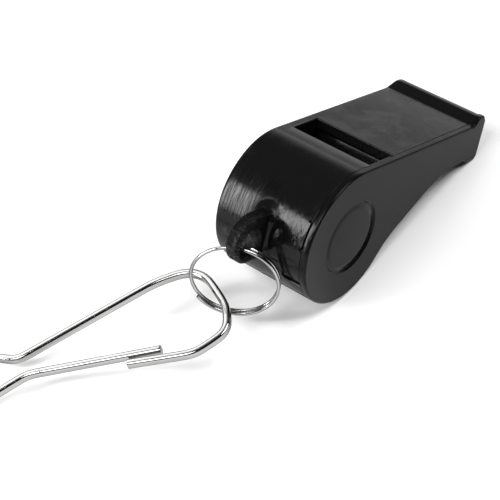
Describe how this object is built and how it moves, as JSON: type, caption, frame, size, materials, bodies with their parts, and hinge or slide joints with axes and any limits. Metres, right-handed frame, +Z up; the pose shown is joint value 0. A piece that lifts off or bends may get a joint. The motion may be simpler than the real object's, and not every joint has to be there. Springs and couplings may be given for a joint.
{
  "type": "training whistle",
  "caption": "Pea whistle with round chamber, flat roof, sound window and lipped mouthpiece, split ring through a rear lug, and a sprung wire hook.",
  "frame": {"origin": "on the resting surface, below the middle of the whole assembly's bounding box", "axes": "+Z up from the resting surface, +X towards the mouthpiece, +Y across the width towards the closed side wall"},
  "size_m": [0.0958, 0.0462, 0.0228],
  "materials": {
    "body_plastic": "glossy black moulding",
    "cover_plastic": "glossy black moulding",
    "pea_cork": "cork",
    "ring_wire": "bright nickel plate",
    "hook_wire": "bright nickel plate"
  },
  "bodies": {
    "whistle": {"whistle_body": "body_plastic", "side_cover": "cover_plastic"},
    "pea": {"pea": "pea_cork"},
    "ring": {"split_ring": "ring_wire"},
    "hook": {"hook_frame": "hook_wire"},
    "gate": {"hook_gate": "hook_wire"}
  },
  "joints": [
    {"name": "pea_orbit", "type": "hinge", "parent": "whistle", "child": "pea", "pos_m": [0.01114, -0.01414, 0.01141], "axis": [0, 1, 0], "continuous": true},
    {"name": "ring_swing", "type": "hinge", "parent": "whistle", "child": "ring", "pos_m": [-0.00272, -0.01414, 0.01814], "axis": [0, 1, 0], "range_deg": [0, 150]},
    {"name": "hook_lift", "type": "hinge", "parent": "ring", "child": "hook", "pos_m": [-0.00914, -0.01428, 0.00771], "axis": [-0.6909, -0.723, 0], "range_deg": [0, 75]},
    {"name": "gate_flex", "type": "hinge", "parent": "hook", "child": "gate", "pos_m": [-0.03213, 0.00493, 0.00335], "axis": [-0.1044, 0.0997, 0.9895], "range_deg": [0, 12], "stiffness_Nm_per_rad": 0.05}
  ]
}
